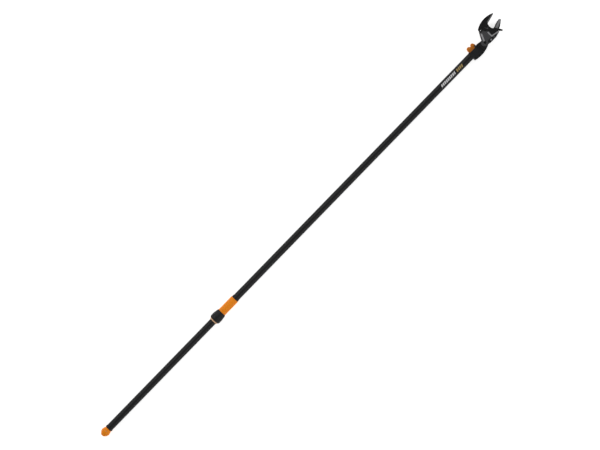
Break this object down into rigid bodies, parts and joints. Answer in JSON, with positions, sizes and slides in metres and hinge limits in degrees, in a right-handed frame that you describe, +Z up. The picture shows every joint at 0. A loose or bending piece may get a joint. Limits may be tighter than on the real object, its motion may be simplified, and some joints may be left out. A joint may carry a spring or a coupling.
{
  "type": "pole pruner",
  "caption": "Long black pole pruner with a sliding pull handle, an orange end ball and lock lever, and a tilting bypass cutting head of hook and blade.",
  "frame": {"origin": "centre of the bounding box at its base, where the tool lies on its collar and housing", "axes": "+X along the pole from the end ball to the cutting head, +Y to the side of the hook, +Z up, along the tilt and blade pivots"},
  "size_m": [2.3778, 0.0986, 0.0477],
  "materials": {
    "pole_black": "satin black powder coat on an aluminium tube",
    "black_plastic": "moulded black plastic, fine grain",
    "orange_plastic": "moulded orange plastic, fine grain",
    "pale_orange_plastic": "pale orange plastic ring",
    "marking_white": "printed light gray marking",
    "marking_gold": "printed gold marking",
    "black_casting": "black coated forged metal",
    "black_aluminium": "black coated aluminium casting",
    "gray_steel": "gray coated steel",
    "blade_steel": "ground steel blade, low friction coat",
    "black_fasteners": "black oxide",
    "bright_steel": "zinc plated",
    "aluminium": "mill finish",
    "pulley_nylon": "gray nylon",
    "strap_nylon": "woven black polyamide strap"
  },
  "bodies": {
    "pole": {"pole_tube": "pole_black", "end_bush": "black_plastic", "marking_white": "marking_white", "marking_gold": "marking_gold", "housing_front": "black_plastic", "housing_back": "black_plastic", "housing_screws": "black_fasteners", "neck_casting": "black_aluminium", "strap_guides": "black_plastic", "tilt_bolts": "black_fasteners", "lever_pin": "bright_steel", "plunger_spring": "bright_steel"},
    "pull": {"ball_knob": "orange_plastic", "ball_pin": "bright_steel", "pull_tube": "aluminium", "shuttle": "aluminium", "strap_clamp": "aluminium", "clamp_screws": "black_fasteners", "pull_strap": "strap_nylon", "handle_key": "gray_steel", "key_screws": "black_fasteners", "grip_core": "black_plastic", "grip_ring": "pale_orange_plastic", "grip_collar": "black_plastic", "grip_sleeve": "orange_plastic"},
    "head": {"front_plate": "gray_steel", "back_plate": "black_casting", "hook": "black_casting", "stay_bar": "gray_steel", "strap_guard": "gray_steel", "pulley_cap": "black_plastic", "pulley_pin": "bright_steel", "spur_block": "black_casting", "rear_spacer": "gray_steel", "block_screw": "black_fasteners", "plate_rivets": "black_fasteners", "pivot_bolt": "black_fasteners", "pivot_nut": "black_fasteners", "tilt_ratchet": "gray_steel", "ratchet_rivets": "black_fasteners", "return_spring": "bright_steel", "strap_falls": "strap_nylon"},
    "blade": {"blade": "blade_steel", "rear_arm": "gray_steel", "hub_sleeve": "gray_steel", "drive_pin": "bright_steel"},
    "head_pulley_front": {"head_pulley_front": "pulley_nylon"},
    "head_pulley_back": {"head_pulley_back": "pulley_nylon"},
    "arm_pulley_front": {"arm_pulley_front": "pulley_nylon"},
    "arm_pulley_back": {"arm_pulley_back": "pulley_nylon"},
    "lock_lever": {"lock_lever": "orange_plastic"},
    "lock_plunger": {"lock_plunger": "gray_steel"}
  },
  "joints": [
    {"name": "pull_slide", "type": "slide", "parent": "pole", "child": "pull", "axis": [-1, 0, 0], "range_m": [0, 0.16], "stiffness_N_per_m": 40, "springref_m": -0.15},
    {"name": "head_tilt", "type": "hinge", "parent": "pole", "child": "head", "pos_m": [1.07308, -0.02205, 0.02375], "axis": [0, 0, 1], "range_deg": [-95, 50]},
    {"name": "blade_swing", "type": "hinge", "parent": "head", "child": "blade", "pos_m": [1.14208, -0.01705, 0.02375], "axis": [0, 0, 1], "range_deg": [0, 66], "deforming": ["return_spring", "strap_falls"]},
    {"name": "head_pulley_front_spin", "type": "hinge", "parent": "head", "child": "head_pulley_front", "pos_m": [1.10108, -0.03255, 0.02375], "axis": [0, 0, 1], "range_deg": [-1410, 10]},
    {"name": "head_pulley_back_spin", "type": "hinge", "parent": "head", "child": "head_pulley_back", "pos_m": [1.10108, -0.03255, 0.02375], "axis": [0, 0, 1], "range_deg": [-710, 10]},
    {"name": "arm_pulley_front_spin", "type": "hinge", "parent": "blade", "child": "arm_pulley_front", "pos_m": [1.12723, 0.01793, 0.02375], "axis": [0, 0, 1], "range_deg": [-920, 10]},
    {"name": "arm_pulley_back_spin", "type": "hinge", "parent": "blade", "child": "arm_pulley_back", "pos_m": [1.12723, 0.01793, 0.02375], "axis": [0, 0, 1], "range_deg": [-310, 10]},
    {"name": "lever_lift", "type": "hinge", "parent": "pole", "child": "lock_lever", "pos_m": [1.03468, -0.00305, 0.02375], "axis": [0, 0, -1], "range_deg": [0, 30], "stiffness_Nm_per_rad": 0.3, "springref_deg": -17.19},
    {"name": "plunger_slide", "type": "slide", "parent": "pole", "child": "lock_plunger", "axis": [-1, 0, 0], "range_m": [0, 0.0045], "deforming": ["plunger_spring"]}
  ],
  "couplings": [
    {"joint": "blade_swing", "follows": "pull_slide", "rad_per_m": 7.199},
    {"joint": "head_pulley_front_spin", "follows": "pull_slide", "rad_per_m": -152.7},
    {"joint": "head_pulley_back_spin", "follows": "pull_slide", "rad_per_m": -76.3},
    {"joint": "arm_pulley_front_spin", "follows": "pull_slide", "rad_per_m": -99.3},
    {"joint": "arm_pulley_back_spin", "follows": "pull_slide", "rad_per_m": -33.1},
    {"joint": "plunger_slide", "follows": "lever_lift", "m_per_rad": 0.00859}
  ]
}
